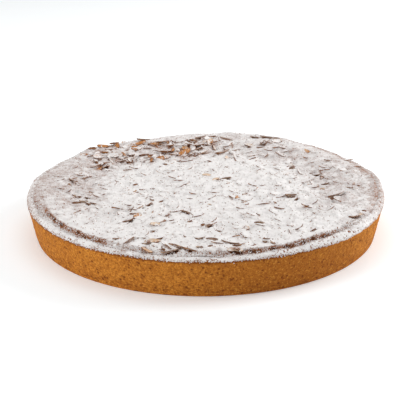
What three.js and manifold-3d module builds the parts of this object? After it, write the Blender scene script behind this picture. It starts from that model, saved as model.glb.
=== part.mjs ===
// A round almond tart, 280 mm across the rim: a shortcrust pastry shell with a sloping
// wall and a rounded, crumbly lip, and in it a baked almond filling that swells a little
// near its edge and is strewn all over with flaked almonds.
// Millimetres, +Z up. The origin is the centre of the flat underside, and the side that
// is usually shown faces -Y.

import * as THREE from "three";
import { mergeVertices } from "three/addons/utils/BufferGeometryUtils.js";
import Module from "manifold-3d";

const wasm = await Module();
wasm.setup();

// ---------------------------------------------------------------- driving sizes
const RIM_RADIUS = 140; // outermost edge of the pastry, just under the lip
const BASE_RADIUS = 134.3; // where the sloping wall would reach the underside
const RIM_HEIGHT = 32.6; // underside to the crest of the lip
const LIP_THICKNESS = 8; // pastry across the top of the wall
const LIP_DEPTH = 5; // how far down the wall the lip is thickened
const LIP_STEP = 0.6; // the lip stands this far in from the wall under it
const FLOOR_THICKNESS = 5; // pastry under the filling
const WALL_THICKNESS = 6.6; // pastry across the foot of the wall
const INSIDE_BEVEL = 3; // slope inside, where the floor turns up into the wall
const FOOT_ROUNDING = 1.2; // soft edge where the wall meets the underside
const FIT_GAP = 0.35; // between the pastry and the filling that lies in it

const CENTRE_HEIGHT = 32.4; // top of the filling in the middle
const SWELL_HEIGHT = 1.9; // how far the filling rises in a ring near its edge
const SWELL_RADIUS = 118; // where that ring is highest
const SWELL_WIDTH = 17; // how far the ring spreads on each side
const BACK_LIFT = 1; // the ring is this much higher at the back, and lower in front
const TROUGH_DEPTH = 2.1; // the filling sank inside that ring, most on the left and right
const TROUGH_RADIUS = 96;
const TROUGH_WIDTH = 13;
const TROUGH_FADE = 0.65; // share of its depth that it loses straight in front and behind
const BROAD_MOUNDS = { height: 0.8, across: 23, deep: 27, startAcross: 1.1, startDeep: -0.4 };
const SMALL_MOUNDS = { height: 0.4, across: 12, slant: 0.7, start: 2 };
const SHOULDER_WIDTH = 4; // the edge of the filling turns down into a groove this wide
const SHOULDER_DROP = 3; // depth of that groove under the ring, in front
const BACK_DROP = 1.2; // its depth at the back, where it is nearly full
const GROOVE_BOTTOM = 1; // the groove would be deepest this far outside the filling

const FLAKE_COUNT = 170;
const FLAKE_LENGTH = 15.5; // a middling flaked almond
const FLAKE_WIDTH = 8.8;
const FLAKE_THICKNESS = 1.2;
const FLAKE_CORNERS = 7; // points round one flake's outline
const SMALLEST_FLAKE = 0.66; // sizes run from this share of the middling one
const LARGEST_FLAKE = 1.16; // to this share
const FLAKE_TILT = 13; // degrees, for most of the flakes
const RIDGE_TILT = 24; // degrees, for those that stand up on the ridge at the back
const RIDGE_RADIUS = 105; // how far out that ridge is at its full height
const RIDGE_WIDTH = 35; // over how far it grows to that height
const LOWEST_LIFT = 0.15; // a flake's middle lies this share of its thickness up or more
const LIFT_RANGE = 0.3;
const LEAST_NARROWING = 0.1; // how much a flake narrows towards one end
const NARROWING_RANGE = 0.25;
const EDGE_MARGIN = 0.7; // flakes end at least this far inside the filling's edge
const RADIAL_SCATTER = 3; // how far a flake can lie from its even spacing
const ANGLE_SCATTER = 0.12; // the same round the tart, in radians

const SHELL_STEPS = 84; // steps round the pastry shell
const FILLING_STEPS = 56; // steps round the filling
const TOP_RINGS = 12; // rings of points across the filling's top
const EDGE_RING = 1.7; // the outermost of them would lie this far inside the edge
const SLOPE_GAP = 1.6; // a gap square to the sloping wall is this much wider when level
const GOLDEN_ANGLE = Math.PI * (3 - Math.sqrt(5));
const degrees = THREE.MathUtils.degToRad;

// ---------------------------------------------------------------- repeatable draws
// The same row of numbers from 0 to 1 on every run.
function drawsFrom(seed) {
  let state = seed >>> 0;
  return () => {
    state = (Math.imul(state, 1664525) + 1013904223) >>> 0;
    return state / 4294967296;
  };
}

// ---------------------------------------------------------------- uneven baking
// Where the lip was pressed up higher or lower than elsewhere: the direction from the
// centre and the spread, in degrees, and the extra height.
const LIP_SWELLS = [
  { towards: 6, spread: 11, height: 3.2 },
  { towards: 73, spread: 25, height: 3.1 },
  { towards: 137, spread: 8, height: 2.2 },
  { towards: 172, spread: 9, height: 1.8 },
  { towards: -95, spread: 52, height: -2.2 },
];

// Short waves round the lip, where crumbs broke away: how many go round, and how large.
const RISE_WAVES = [
  { count: 19, size: 0.3, start: 0.4 },
  { count: 31, size: 0.25, start: 1.3 },
];
const WANDER_WAVES = [
  { count: 5, size: 0.3, start: 1.9 },
  { count: 23, size: 0.2, start: 0 },
];
const MEAN_WANDER = 0.5;

function wavesAt(angle, waves) {
  let sum = 0;
  for (const wave of waves) sum += wave.size * Math.sin(wave.count * angle + wave.start);
  return sum;
}

// How much the lip of the pastry rises or sinks at an angle round the tart.
function lipRise(angle) {
  let rise = wavesAt(angle, RISE_WAVES);
  for (const swell of LIP_SWELLS) {
    const away = Math.sin((angle - degrees(swell.towards)) / 2) * 2;
    const share = away / degrees(swell.spread);
    rise += swell.height * Math.exp(-share * share);
  }
  return rise;
}

// How far the inner edge of the lip wanders outwards, so that it is thick in some places
// and thin in others.
function lipWander(angle) {
  return MEAN_WANDER + wavesAt(angle, WANDER_WAVES);
}

// How high the mounds stand at a point.
function moundHeight(x, y) {
  const broad = BROAD_MOUNDS;
  const across = Math.sin(x / broad.across + broad.startAcross);
  const deep = Math.cos(y / broad.deep + broad.startDeep);
  const small = SMALL_MOUNDS;
  const slanting = Math.sin((x + small.slant * y) / small.across + small.start);
  return broad.height * across * deep + small.height * slanting;
}

// Height of the filling's baked top at a point.
function fillingTop(x, y) {
  const radius = Math.hypot(x, y);
  const towardsBack = radius > 0 ? y / radius : 0;
  const fromRing = (radius - SWELL_RADIUS) / SWELL_WIDTH;
  const ring = (SWELL_HEIGHT + BACK_LIFT * towardsBack) * Math.exp(-fromRing * fromRing);
  const fromTrough = (radius - TROUGH_RADIUS) / TROUGH_WIDTH;
  const sideways = 1 - TROUGH_FADE * towardsBack * towardsBack;
  const trough = TROUGH_DEPTH * sideways * Math.exp(-fromTrough * fromTrough);
  const shoulderStart = FILLING_RADIUS - SHOULDER_WIDTH;
  const grooveBottom = FILLING_RADIUS + GROOVE_BOTTOM;
  const shoulder = THREE.MathUtils.smoothstep(radius, shoulderStart, grooveBottom);
  const inFront = THREE.MathUtils.smoothstep(-towardsBack, -0.1, 0.5);
  const drop = BACK_DROP + (SHOULDER_DROP - BACK_DROP) * inFront;
  const mounds = moundHeight(x, y) * (1 - shoulder);
  return CENTRE_HEIGHT + ring - trough + mounds - drop * shoulder;
}

// ---------------------------------------------------------------- solids
// A closed geometry as a solid that can be joined to others.
function solidOf(geometry) {
  const bare = geometry.clone();
  bare.deleteAttribute("normal");
  bare.deleteAttribute("uv");
  const merged = mergeVertices(bare, 1e-3);
  return new wasm.Manifold(
    new wasm.Mesh({
      numProp: 3,
      vertProperties: merged.attributes.position.array,
      triVerts: new Uint32Array(merged.index.array),
    }),
  );
}

// The outer skin of a joined solid as a geometry. Hollows that the joining sealed are
// filled by this, and loose scraps are dropped.
function geometryOf(solid) {
  const skins = solid.decompose();
  skins.sort((a, b) => b.volume() - a.volume());
  const mesh = skins[0].getMesh();
  const geometry = new THREE.BufferGeometry();
  geometry.setAttribute("position", new THREE.BufferAttribute(mesh.vertProperties, 3));
  geometry.setIndex(new THREE.BufferAttribute(mesh.triVerts, 1));
  geometry.computeVertexNormals();
  return geometry;
}

// Turns a profile of [radius, height] points about +Z, and moves each point of the
// result as the shaping function says.
function turned(profile, steps, shape) {
  const points = profile.map(([radius, height]) => new THREE.Vector2(radius, height));
  const geometry = new THREE.LatheGeometry(points, steps);
  geometry.rotateX(Math.PI / 2);
  const position = geometry.getAttribute("position");
  for (let i = 0; i < position.count; i++) {
    const x = position.getX(i);
    const y = position.getY(i);
    const [sx, sy, sz] = shape(x, y, position.getZ(i));
    position.setXYZ(i, sx, sy, sz);
  }
  return geometry;
}

// Points on an arc from one angle to another, both in degrees.
function arc(centreRadius, centreHeight, size, from, to, steps) {
  const points = [];
  for (let i = 0; i <= steps; i++) {
    const angle = degrees(from + ((to - from) * i) / steps);
    points.push([
      centreRadius + size * Math.cos(angle),
      centreHeight + size * Math.sin(angle),
    ]);
  }
  return points;
}

// ---------------------------------------------------------------- pastry shell
const LIP_ROUNDING = LIP_THICKNESS / 2;
const LIP_CENTRE = RIM_RADIUS - LIP_ROUNDING;
const WALL_TOP = RIM_HEIGHT - LIP_ROUNDING; // the lip's rounding starts here
const WALL_INSIDE = RIM_RADIUS - LIP_THICKNESS - LIP_STEP; // just under the thickened lip
const INSIDE_FOOT = BASE_RADIUS - WALL_THICKNESS;
const FLOOR_EDGE = INSIDE_FOOT - INSIDE_BEVEL;
const FILLING_RADIUS = RIM_RADIUS - LIP_THICKNESS - FIT_GAP;

function pastryShell() {
  const wallSlope = (RIM_RADIUS - BASE_RADIUS) / WALL_TOP;
  const footRadius = BASE_RADIUS - FOOT_ROUNDING;
  const profile = [
    [0, 0],
    [footRadius * 0.5, 0],
    ...arc(footRadius, FOOT_ROUNDING, FOOT_ROUNDING, -90, 0, 2),
    [BASE_RADIUS + wallSlope * WALL_TOP * 0.5, WALL_TOP * 0.5],
    ...arc(LIP_CENTRE, WALL_TOP, LIP_ROUNDING, 0, 180, 5),
    [WALL_INSIDE, WALL_TOP - LIP_DEPTH],
    [INSIDE_FOOT, FLOOR_THICKNESS + INSIDE_BEVEL],
    [FLOOR_EDGE, FLOOR_THICKNESS],
    [FLOOR_EDGE * 0.5, FLOOR_THICKNESS],
    [0, FLOOR_THICKNESS],
  ];
  return turned(profile, SHELL_STEPS, (x, y, z) => {
    const radius = Math.hypot(x, y);
    const angle = Math.atan2(y, x);
    const nearLip = THREE.MathUtils.smoothstep(z, WALL_TOP - 1, RIM_HEIGHT);
    const wander = radius < LIP_CENTRE ? nearLip * lipWander(angle) : 0;
    const scale = radius > 0 ? (radius + wander) / radius : 1;
    return [x * scale, y * scale, z + nearLip * lipRise(angle)];
  });
}

// ---------------------------------------------------------------- filling
// Radii of the rings of points across the baked top, closest together at the shoulder.
function topRings() {
  const outermost = FILLING_RADIUS - EDGE_RING;
  const rings = [];
  for (let i = TOP_RINGS; i > 0; i--) {
    rings.push(outermost * Math.sin((Math.PI / 2) * ((i - 0.5) / TOP_RINGS)));
  }
  return rings;
}

function fillingBody() {
  const floor = FLOOR_THICKNESS + FIT_GAP;
  const gap = FIT_GAP * SLOPE_GAP;
  const profile = [
    [0, floor],
    [FLOOR_EDGE - FIT_GAP, floor],
    [INSIDE_FOOT - gap, floor + INSIDE_BEVEL],
    [WALL_INSIDE - gap, WALL_TOP - LIP_DEPTH],
    [FILLING_RADIUS, RIM_HEIGHT],
    ...topRings().map((radius) => [radius, RIM_HEIGHT]),
    [0, RIM_HEIGHT],
  ];
  // Every point of the profile that lies at the rim's height is part of the baked top.
  return turned(profile, FILLING_STEPS, (x, y, z) => {
    return [x, y, z > WALL_TOP ? fillingTop(x, y) : z];
  });
}

// One flaked almond, a thin slice of the kernel that narrows towards one end.
function flakeGeometry(size, narrowing) {
  const outline = [];
  for (let i = 0; i < FLAKE_CORNERS; i++) {
    const angle = (2 * Math.PI * i) / FLAKE_CORNERS;
    const along = (FLAKE_LENGTH / 2) * size * Math.cos(angle);
    const taper = 1 - narrowing * Math.cos(angle);
    const across = (FLAKE_WIDTH / 2) * size * Math.sin(angle) * taper;
    outline.push(new THREE.Vector2(along, across));
  }
  const geometry = new THREE.ExtrudeGeometry(new THREE.Shape(outline), {
    depth: FLAKE_THICKNESS,
    bevelEnabled: false,
  });
  return geometry.translate(0, 0, -FLAKE_THICKNESS / 2);
}

// Where flake number i lies: evenly spread by the golden angle, each with its own size,
// turn and tilt. Near the back edge the flakes stand up in a ridge.
function placedFlake(i, draw) {
  const size = SMALLEST_FLAKE + (LARGEST_FLAKE - SMALLEST_FLAKE) * draw();
  const halfLength = (FLAKE_LENGTH / 2) * size;
  const reach = FILLING_RADIUS - EDGE_MARGIN - halfLength;
  const spread = Math.sqrt((i + 0.5) / FLAKE_COUNT);
  const radius = reach * spread + RADIAL_SCATTER * (draw() - 0.5) * (1 - spread);
  const angle = i * GOLDEN_ANGLE + ANGLE_SCATTER * (draw() - 0.5);
  const x = radius * Math.cos(angle);
  const y = radius * Math.sin(angle);
  const ridge =
    THREE.MathUtils.smoothstep(radius, RIDGE_RADIUS - RIDGE_WIDTH, RIDGE_RADIUS) *
    THREE.MathUtils.smoothstep(Math.sin(angle), 0.2, 0.8);
  const tilt = degrees(FLAKE_TILT + (RIDGE_TILT - FLAKE_TILT) * ridge) * (draw() * 2 - 1);
  const roll = degrees(FLAKE_TILT) * (draw() * 2 - 1);
  const turn = 2 * Math.PI * draw();
  const lift = FLAKE_THICKNESS * (LOWEST_LIFT + LIFT_RANGE * draw());
  const flake = flakeGeometry(size, LEAST_NARROWING + NARROWING_RANGE * draw());
  flake.rotateX(roll);
  flake.rotateY(tilt);
  flake.rotateZ(turn);
  flake.translate(x, y, fillingTop(x, y) + lift);
  return flake;
}

function fillingWithFlakes() {
  const draw = drawsFrom(20817);
  const pieces = [solidOf(fillingBody())];
  for (let i = 0; i < FLAKE_COUNT; i++) pieces.push(solidOf(placedFlake(i, draw)));
  return geometryOf(wasm.Manifold.union(pieces));
}

// ---------------------------------------------------------------- finishes
const bakedPastry = new THREE.MeshStandardMaterial({
  color: 0xb87a34,
  roughness: 0.85,
  metalness: 0,
});
const sugaredAlmonds = new THREE.MeshStandardMaterial({
  color: 0xe0d9d4,
  roughness: 0.95,
  metalness: 0,
});

function named(name, geometry, material) {
  const mesh = new THREE.Mesh(geometry, material);
  mesh.name = name;
  return mesh;
}

const tart = new THREE.Group();
tart.add(named("pastry_shell", pastryShell(), bakedPastry));
tart.add(named("almond_filling", fillingWithFlakes(), sugaredAlmonds));

export default tart;
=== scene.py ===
# %% [markdown]
# # A sugared almond tart
# The real tart is a flat, round bake of four things: a shortcrust shell with a leaning
# wall, a soft almond filling, a strewing of flaked almonds baked onto it, and a thick
# dusting of icing sugar. The shell and the filling are already measured solids, so the
# lesson starts by loading them. Every piece after that is laid in the same frame, in
# metres, with +Z up, and the side that is shown faces -Y.

# %% Load the measured frame
import math

import bpy
import numpy as np
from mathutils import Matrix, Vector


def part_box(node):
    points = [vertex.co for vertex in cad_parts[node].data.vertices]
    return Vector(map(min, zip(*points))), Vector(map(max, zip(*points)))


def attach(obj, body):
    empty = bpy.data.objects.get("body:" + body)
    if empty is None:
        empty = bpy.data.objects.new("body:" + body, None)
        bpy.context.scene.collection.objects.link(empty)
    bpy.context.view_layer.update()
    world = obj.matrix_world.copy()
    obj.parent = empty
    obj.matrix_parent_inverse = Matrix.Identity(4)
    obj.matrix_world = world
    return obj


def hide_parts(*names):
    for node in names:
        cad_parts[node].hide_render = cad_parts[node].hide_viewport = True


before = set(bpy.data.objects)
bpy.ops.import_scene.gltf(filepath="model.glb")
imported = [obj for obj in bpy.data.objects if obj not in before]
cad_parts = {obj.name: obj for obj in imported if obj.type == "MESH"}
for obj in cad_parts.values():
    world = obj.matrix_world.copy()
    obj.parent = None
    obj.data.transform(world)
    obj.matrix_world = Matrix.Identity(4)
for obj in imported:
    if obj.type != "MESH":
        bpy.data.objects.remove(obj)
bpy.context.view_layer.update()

# %% [markdown]
# ## Small tools
# Operators act on whatever is selected, so a piece is always picked alone before it is
# worked on. Sizes are easier to think about in millimetres, as a baker's ring is sold, so
# two helpers hand a mesh's points over in millimetres and put them back in metres.

# %% Picking a piece, and reading its points
MM = 0.001


def pick(piece):
    bpy.ops.object.select_all(action="DESELECT")
    piece.select_set(True)
    bpy.context.view_layer.objects.active = piece


def new_piece(name):
    piece = bpy.context.object
    piece.name = name
    piece.data.name = name
    return piece


def points_of(piece):
    flat = np.empty(len(piece.data.vertices) * 3)
    piece.data.vertices.foreach_get("co", flat)
    return flat.reshape(-1, 3) / MM


def put_points(piece, points):
    piece.data.vertices.foreach_set("co", (points * MM).ravel())
    piece.data.update()


def apply_all_modifiers(piece):
    pick(piece)
    for modifier in list(piece.modifiers):
        bpy.ops.object.modifier_apply(modifier=modifier.name)


def weigh(piece, name, weights):
    """Gives every point of a piece its own weight, in a vertex group."""
    group = piece.vertex_groups.new(name=name)
    levels = np.round(np.clip(weights, 0, 1) * 20).astype(int)
    for level in range(1, 21):
        members = np.flatnonzero(levels == level)
        if len(members):
            group.add(members.tolist(), level / 20, "REPLACE")


def write_layer(piece, name, values):
    """Gives every point a value that a material can read by its name."""
    layer = piece.data.attributes.new(name, "FLOAT", "POINT")
    layer.data.foreach_set("value", values)


def smoothstep(value, low, high):
    share = np.clip((value - low) / (high - low), 0, 1)
    return share * share * (3 - 2 * share)


def count_triangles(piece):
    return sum(len(face.vertices) - 2 for face in piece.data.polygons)


# %% [markdown]
# ## The sizes everything hangs on
# The rim's radius comes from the shell's solid, and the rest are a baker's sizes: how
# thick the lip is, how deep the base, how far the filling swells. The two functions say
# how the bake came out uneven. They are the same ones that shaped the solids, so what is
# modelled here lies on them.

# %% Driving sizes, in millimetres
RIM_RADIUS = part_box("pastry_shell")[1].x / MM
BASE_RADIUS = 134.3
RIM_HEIGHT = 32.6
LIP_THICKNESS = 8
LIP_DEPTH = 5
FLOOR_THICKNESS = 5
WALL_THICKNESS = 6.6
INSIDE_BEVEL = 3
FOOT_ROUNDING = 1.2
FIT_GAP = 0.35

LIP_ROUNDING = LIP_THICKNESS / 2
LIP_CENTRE = RIM_RADIUS - LIP_ROUNDING
WALL_TOP = RIM_HEIGHT - LIP_ROUNDING
WALL_INSIDE = RIM_RADIUS - LIP_THICKNESS - 0.6
INSIDE_FOOT = BASE_RADIUS - WALL_THICKNESS
FLOOR_EDGE = INSIDE_FOOT - INSIDE_BEVEL
FILLING_RADIUS = RIM_RADIUS - LIP_THICKNESS - FIT_GAP
print("rim radius", round(RIM_RADIUS, 2), "mm, filling radius", round(FILLING_RADIUS, 2), "mm")

# %% How the rim and the top came out uneven
CENTRE_HEIGHT = 32.4
SWELL_HEIGHT = 1.9
SWELL_RADIUS = 118
SWELL_WIDTH = 17
BACK_LIFT = 1
TROUGH_DEPTH = 2.1
TROUGH_RADIUS = 96
TROUGH_WIDTH = 13
SHOULDER_WIDTH = 4
SHOULDER_DROP = 3
BACK_DROP = 1.2
BROAD_MOUNDS = 0.8
SMALL_MOUNDS = 0.4
LIP_SWELLS = [(6, 11, 3.2), (73, 25, 3.1), (137, 8, 2.2), (172, 9, 1.8), (-95, 52, -2.2)]


def lip_rise(angle):
    rise = 0.3 * np.sin(19 * angle + 0.4) + 0.25 * np.sin(31 * angle + 1.3)
    for towards, spread, height in LIP_SWELLS:
        away = np.sin((angle - math.radians(towards)) / 2) * 2
        rise = rise + height * np.exp(-((away / math.radians(spread)) ** 2))
    return rise


def lip_wander(angle):
    return 0.5 + 0.3 * np.sin(5 * angle + 1.9) + 0.2 * np.sin(23 * angle)


def filling_top(x, y):
    radius = np.hypot(x, y)
    towards_back = y / np.maximum(radius, 1e-6)
    from_ring = (radius - SWELL_RADIUS) / SWELL_WIDTH
    ring = (SWELL_HEIGHT + BACK_LIFT * towards_back) * np.exp(-from_ring * from_ring)
    from_trough = (radius - TROUGH_RADIUS) / TROUGH_WIDTH
    sideways = 1 - 0.65 * towards_back * towards_back
    trough = TROUGH_DEPTH * sideways * np.exp(-from_trough * from_trough)
    broad = BROAD_MOUNDS * np.sin(x / 23 + 1.1) * np.cos(y / 27 - 0.4)
    small = SMALL_MOUNDS * np.sin((x + 0.7 * y) / 12 + 2)
    shoulder = smoothstep(radius, FILLING_RADIUS - SHOULDER_WIDTH, FILLING_RADIUS + 1)
    in_front = smoothstep(-towards_back, -0.1, 0.5)
    groove = (BACK_DROP + (SHOULDER_DROP - BACK_DROP) * in_front) * shoulder
    return CENTRE_HEIGHT + ring - trough + (broad + small) * (1 - shoulder) - groove


def press_lip(points):
    """Moves points on or over the lip as the baker's thumbs did."""
    x, y, z = points.T
    radius = np.hypot(x, y)
    angle = np.arctan2(y, x)
    near_lip = smoothstep(z, WALL_TOP - 1, RIM_HEIGHT)
    wander = np.where(radius < LIP_CENTRE, near_lip * lip_wander(angle), 0)
    scale = 1 + wander / np.maximum(radius, 1e-6)
    return np.stack([x * scale, y * scale, z + near_lip * lip_rise(angle)], axis=1)


def drift(x, y, size):
    """A slow wandering value between about -1 and 1, with waves of about that size."""
    first = np.sin(x / size + 1.3) * np.sin(1.1 * y / size + 0.6)
    second = np.sin((1.7 * x + 0.9 * y) / size + 2.2)
    third = np.sin((1.3 * y - 1.9 * x) / size + 0.4)
    return 0.5 * first + 0.3 * second + 0.2 * third


# %% [markdown]
# ## A grain for every surface
# Nothing baked is smooth. A Displace modifier with a Clouds texture pushes a surface in
# and out in soft lumps, and the size of the lumps says what it is made of: four
# millimetres for dough, little more than one for sugar. A vertex group keeps the push
# away from where a piece has to stay flat.

# %% Roughening a surface
def roughen(piece, lump, depth, group="", direction="NORMAL"):
    noise = bpy.data.textures.new(f"{piece.name}_lumps", "CLOUDS")
    noise.noise_scale = lump * MM
    noise.noise_depth = 2
    noise.noise_type = "SOFT_NOISE"
    push = piece.modifiers.new("lumps", "DISPLACE")
    push.texture = noise
    push.texture_coords = "LOCAL"
    push.direction = direction
    push.strength = depth * MM
    push.mid_level = 0.5
    push.vertex_group = group
    pick(piece)
    bpy.ops.object.modifier_apply(modifier=push.name)


# %% [markdown]
# ## The shortcrust shell
# Shortcrust is pressed into a ring, so the shell is one wall all round with a rounded lip
# and a floor. It could be turned from a profile, but here it is drawn up like a pot: a
# disc is the underside, and its face is extruded again and again, up the wall, over the
# lip and down inside, each time scaled to the next radius. That leaves a closed body with
# no seam. The rings are about a millimetre apart, close enough to carry the crumb.

# %% The profile that the wall follows
SHELL_STEPS = 1000


def arc(centre_radius, centre_height, size, start, end, steps):
    """Points on an arc, from one angle to another, both in degrees."""
    points = []
    for i in range(steps + 1):
        angle = math.radians(start + (end - start) * i / steps)
        across, up = size * math.cos(angle), size * math.sin(angle)
        points.append((centre_radius + across, centre_height + up))
    return points


def straight(start, end, steps):
    """Points on a line, without its first one."""
    across, up = (end[0] - start[0]) / steps, (end[1] - start[1]) / steps
    return [(start[0] + across * i, start[1] + up * i) for i in range(1, steps + 1)]


def shell_profile():
    foot = arc(BASE_RADIUS - FOOT_ROUNDING, FOOT_ROUNDING, FOOT_ROUNDING, -90, 0, 3)
    wall = straight((BASE_RADIUS, FOOT_ROUNDING), (RIM_RADIUS, WALL_TOP), 27)
    lip = arc(LIP_CENTRE, WALL_TOP, LIP_ROUNDING, 0, 180, 16)[1:]
    inside = straight(lip[-1], (WALL_INSIDE, WALL_TOP - LIP_DEPTH), 5)
    foot_inside = straight(inside[-1], (INSIDE_FOOT, FLOOR_THICKNESS + INSIDE_BEVEL), 2)
    return foot + wall + lip + inside + foot_inside + [(FLOOR_EDGE, FLOOR_THICKNESS)]


# %% Draw the shell up from a disc
def start_editing():
    """Opens the active piece for modelling, with all of it selected."""
    bpy.ops.object.mode_set(mode="EDIT")
    bpy.ops.mesh.select_all(action="SELECT")


def finish_editing():
    """Turns every face outward and closes the piece again."""
    bpy.ops.mesh.select_all(action="SELECT")
    bpy.ops.mesh.normals_make_consistent(inside=False)
    bpy.ops.object.mode_set(mode="OBJECT")


def draw_up(name, profile, steps):
    """A closed round body: a disc at the first point, its face extruded through the others."""
    bpy.ops.object.select_all(action="DESELECT")
    radius, height = profile[0]
    bpy.ops.mesh.primitive_circle_add(
        vertices=steps, radius=radius * MM, fill_type="NGON", location=(0, 0, height * MM)
    )
    piece = new_piece(name)
    bpy.ops.object.transform_apply(location=True)
    start_editing()
    for next_radius, next_height in profile[1:]:
        rise = (next_height - height) * MM
        bpy.ops.mesh.extrude_region_move(TRANSFORM_OT_translate={"value": (0, 0, rise)})
        share = next_radius / radius
        middle = (0, 0, next_height * MM)
        bpy.ops.transform.resize(value=(share, share, 1), center_override=middle)
        radius, height = next_radius, next_height
    finish_editing()
    return piece


shell = draw_up("shortcrust_shell", shell_profile(), SHELL_STEPS)
print("shell:", count_triangles(shell), "triangles")

# %% Press the lip and roughen the crust
put_points(shell, press_lip(points_of(shell)))
shell_points = points_of(shell)
off_the_base = smoothstep(shell_points[:, 2], 0.6, 4)
weigh(shell, "crust", off_the_base)
roughen(shell, lump=22, depth=0.5, group="crust")
roughen(shell, lump=4, depth=0.5, group="crust")
roughen(shell, lump=1.8, depth=0.75, group="crust")


# Where the wall is darker or paler than elsewhere: angle and spread in degrees, share.
WALL_TONE_PLACES = [(-61, 20, 0.98), (-12, 16, -0.15)]


def write_wall_tone(shell):
    """The wall is darker at the front right, paler at the right, and browner or paler in slow
    patches all round.
    """
    x, y, z = points_of(shell).T
    angle = np.degrees(np.arctan2(y, x))
    wall_darkening = 0.3 * drift(x, y, 14) + 0.15 * drift(y + z, x, 5)
    for towards, spread, share in WALL_TONE_PLACES:
        wall_darkening += share * np.exp(-(((angle - towards) / spread) ** 2))
    write_layer(shell, "wall_tone", np.clip(0.2 + wall_darkening, 0, 1))


write_wall_tone(shell)

# %% [markdown]
# ## The almond filling
# Under the flakes the filling is a low brown cake. It shows at its edge, where it turns
# down into a groove behind the lip, and in the gaps between the flakes. It is drawn up
# like the shell, and its top rings are then set to the height that it baked to. Its top
# lies a little low, because a layer of flakes still goes onto it.

# %% Model the filling
FILLING_STEPS = 720
FLAKE_BED = 0.9
BED_FADES = (118, 127)
SLOPE_GAP = 1.6
SHOULDER_RINGS = 18
RING_SPACING = 0.6


def filling_profile():
    floor = FLOOR_THICKNESS + FIT_GAP
    gap = FIT_GAP * SLOPE_GAP
    side = [(FLOOR_EDGE - FIT_GAP, floor), (INSIDE_FOOT - gap, floor + INSIDE_BEVEL)]
    side.append((WALL_INSIDE - gap, WALL_TOP - LIP_DEPTH))
    shoulder = [(FILLING_RADIUS - RING_SPACING * i, RIM_HEIGHT) for i in range(SHOULDER_RINGS)]
    top = straight(shoulder[-1], (2, RIM_HEIGHT), 40)
    return side + shoulder + top


def bed_height(x, y):
    """Where the filling's own top lies, under the flakes."""
    inside = 1 - smoothstep(np.hypot(x, y), *BED_FADES)
    return filling_top(x, y) - FLAKE_BED * inside


filling = draw_up("baked_almond_filling", filling_profile(), FILLING_STEPS)
filling_points = points_of(filling)
baked_top = filling_points[:, 2] > WALL_TOP
filling_points[baked_top, 2] = bed_height(*filling_points[baked_top, :2].T)
put_points(filling, filling_points)
weigh(filling, "top", smoothstep(filling_points[:, 2], WALL_TOP - LIP_DEPTH, WALL_TOP - 1))
roughen(filling, lump=5, depth=0.7, group="top")
roughen(filling, lump=1.6, depth=0.5, group="top")
print("filling:", count_triangles(filling), "triangles")

# %% [markdown]
# ## One flaked almond
# A flake is a slice across the kernel, so it is a drop shape about 15 mm long and under
# a millimetre thick, with the toasted skin as a thin brown line round it. One flake is
# modelled: a disc is squashed to an oval, its face is inset so that the skin has its own
# ring, and the sheet is extruded to its thickness. All other flakes are copies of it,
# each with its own taper, bend, broken end and place.

# %% Model the flake that is copied
FLAKE_LENGTH = 15.5
FLAKE_WIDTH = 8.8
FLAKE_THICKNESS = 0.65
FLAKE_CORNERS = 14


def model_flake():
    bpy.ops.object.select_all(action="DESELECT")
    bpy.ops.mesh.primitive_circle_add(
        vertices=FLAKE_CORNERS, radius=FLAKE_LENGTH / 2 * MM, fill_type="NGON"
    )
    flake = new_piece("flake_to_copy")
    start_editing()
    bpy.ops.transform.resize(value=(1, FLAKE_WIDTH / FLAKE_LENGTH, 1))
    bpy.ops.mesh.inset(thickness=1.1 * MM, depth=-0.12 * MM)
    bpy.ops.mesh.select_all(action="SELECT")
    thickness = {"value": (0, 0, FLAKE_THICKNESS * MM)}
    bpy.ops.mesh.extrude_region_move(TRANSFORM_OT_translate=thickness)
    finish_editing()
    return flake


flake = model_flake()
flake_points = points_of(flake) - [0, 0, FLAKE_THICKNESS / 2]
flake_faces = [tuple(face.vertices) for face in flake.data.polygons]
outline_share = np.hypot(
    flake_points[:, 0] / (FLAKE_LENGTH / 2), flake_points[:, 1] / (FLAKE_WIDTH / 2)
)
flake_skin = (outline_share > 0.95).astype(float)
bpy.data.objects.remove(flake)
print("one flake:", len(flake_faces), "faces")

# %% [markdown]
# ## Laying flakes
# A flake's place is written down as a small record, and a whole layer is then made as
# one mesh from the copied points. Each point also carries values for the material:
# whether it lies on the skin, how much sugar its flake caught and how dark it toasted.

# %% Copy the flake to many places
def flake_at(
    x, y, z, size, roll, tilt, turn, narrowing, bow=0, broken=1, slim=1, dusted=1, toast=0.4
):
    """One flake: its own shape first, then turned three times and put in its place."""
    cos, sin = math.cos, math.sin
    rx = np.array([[1, 0, 0], [0, cos(roll), -sin(roll)], [0, sin(roll), cos(roll)]])
    ry = np.array([[cos(tilt), 0, sin(tilt)], [0, 1, 0], [-sin(tilt), 0, cos(tilt)]])
    rz = np.array([[cos(turn), -sin(turn), 0], [sin(turn), cos(turn), 0], [0, 0, 1]])
    along = flake_points[:, 0] / (FLAKE_LENGTH / 2)
    points = flake_points.copy()
    points[:, 1] *= slim * (1 - narrowing * along)
    points[:, 2] += bow * (along * along - 0.3)
    points[:, 0] = np.minimum(points[:, 0], broken * FLAKE_LENGTH / 2)
    points[:, :2] *= size
    return points @ (rz @ ry @ rx).T + [x, y, z], dusted, toast


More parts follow.
